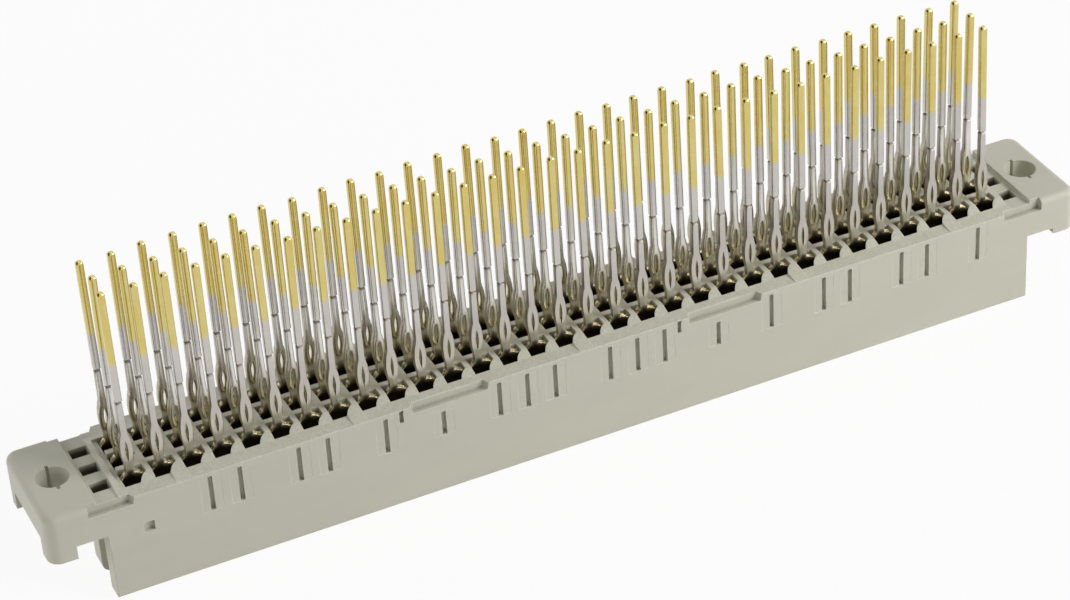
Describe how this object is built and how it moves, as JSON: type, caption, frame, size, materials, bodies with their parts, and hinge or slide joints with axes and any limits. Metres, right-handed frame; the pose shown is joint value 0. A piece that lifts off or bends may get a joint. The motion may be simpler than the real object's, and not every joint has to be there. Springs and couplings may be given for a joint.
{
  "type": "backplane connector",
  "caption": "Straight female backplane connector: grey moulded strip with screw flanges and rows of press-fit contacts with long square posts for wrapping or rear plug-up.",
  "frame": {"origin": "midway between the axes of the two flange holes, on the face of the flanges that meets the board", "axes": "+X along the strip, +Y across the rows, +Z along the posts, away from the mating face"},
  "size_m": [0.095, 0.0106, 0.0271],
  "materials": {
    "housing": "semi-matt moulded, pebble grey",
    "contact": "tinned below, gilt on the upper part of the posts"
  },
  "bodies": {
    "root": {"housing": "housing", "contact_column_01": "contact", "contact_column_02": "contact", "contact_column_03": "contact", "contact_column_04": "contact", "contact_column_05": "contact", "contact_column_06": "contact", "contact_column_07": "contact", "contact_column_08": "contact", "contact_column_09": "contact", "contact_column_10": "contact", "contact_column_11": "contact", "contact_column_12": "contact", "contact_column_13": "contact", "contact_column_14": "contact", "contact_column_15": "contact", "contact_column_16": "contact", "contact_column_17": "contact", "contact_column_18": "contact", "contact_column_19": "contact", "contact_column_20": "contact", "contact_column_21": "contact", "contact_column_22": "contact", "contact_column_23": "contact", "contact_column_24": "contact", "contact_column_25": "contact", "contact_column_26": "contact", "contact_column_27": "contact", "contact_column_28": "contact", "contact_column_29": "contact", "contact_column_30": "contact", "contact_column_31": "contact", "contact_column_32": "contact"}
  },
  "joints": []
}
